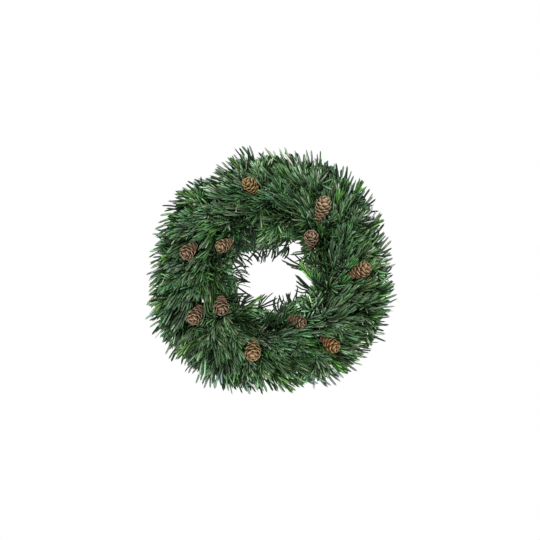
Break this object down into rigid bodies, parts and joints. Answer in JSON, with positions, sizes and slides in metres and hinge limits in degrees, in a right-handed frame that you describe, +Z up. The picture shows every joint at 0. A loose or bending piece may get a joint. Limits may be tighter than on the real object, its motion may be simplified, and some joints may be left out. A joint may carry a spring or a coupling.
{
  "type": "pinecone wreath",
  "caption": "Round evergreen wreath with pinecones: overlapping green pine sprigs bound to a wire ring in one direction, an open centre, and a wire loop for hanging at the back.",
  "frame": {"origin": "where a nail or hook carries the wire loop at the top of the back: the inside of the loop's top", "axes": "+Z up, +X right as seen from the front, the decorated face looks along -Y and the back with the loop along +Y"},
  "size_m": [0.4501, 0.0979, 0.4361],
  "materials": {
    "greenery": "fresh pine needles, dull satin, on brown twigs",
    "pinecone": "dry woody cone scales, matte",
    "ring_frame": "green lacquered steel wire, satin",
    "binding_wire": "green lacquered florist wire, satin",
    "cone_wire": "brown lacquered florist wire, satin",
    "hanging_loop": "galvanised wire, dull"
  },
  "bodies": {
    "root": {"ring_frame": "ring_frame", "binding_wire": "binding_wire", "hanging_loop": "hanging_loop", "pinecone_01": "pinecone", "pinecone_02": "pinecone", "pinecone_03": "pinecone", "pinecone_04": "pinecone", "pinecone_05": "pinecone", "pinecone_06": "pinecone", "pinecone_07": "pinecone", "pinecone_08": "pinecone", "pinecone_09": "pinecone", "pinecone_10": "pinecone", "pinecone_11": "pinecone", "cone_wire_01": "cone_wire", "cone_wire_02": "cone_wire", "cone_wire_03": "cone_wire", "cone_wire_04": "cone_wire", "cone_wire_05": "cone_wire", "cone_wire_06": "cone_wire", "cone_wire_07": "cone_wire", "cone_wire_08": "cone_wire", "cone_wire_09": "cone_wire", "cone_wire_10": "cone_wire", "cone_wire_11": "cone_wire", "outer_sprig_01": "greenery", "outer_sprig_02": "greenery", "outer_sprig_03": "greenery", "outer_sprig_04": "greenery", "outer_sprig_05": "greenery", "outer_sprig_06": "greenery", "outer_sprig_07": "greenery", "outer_sprig_08": "greenery", "outer_sprig_09": "greenery", "outer_sprig_10": "greenery", "outer_sprig_11": "greenery", "shoulder_sprig_01": "greenery", "shoulder_sprig_02": "greenery", "shoulder_sprig_03": "greenery", "shoulder_sprig_04": "greenery", "shoulder_sprig_05": "greenery", "shoulder_sprig_06": "greenery", "shoulder_sprig_07": "greenery", "shoulder_sprig_08": "greenery", "shoulder_sprig_09": "greenery", "front_sprig_01": "greenery", "front_sprig_02": "greenery", "front_sprig_03": "greenery", "front_sprig_04": "greenery", "front_sprig_05": "greenery", "front_sprig_06": "greenery", "front_sprig_07": "greenery", "front_sprig_08": "greenery", "inner_sprig_01": "greenery", "inner_sprig_02": "greenery", "inner_sprig_03": "greenery", "inner_sprig_04": "greenery", "inner_sprig_05": "greenery", "inner_sprig_06": "greenery", "inner_sprig_07": "greenery"}
  },
  "joints": []
}
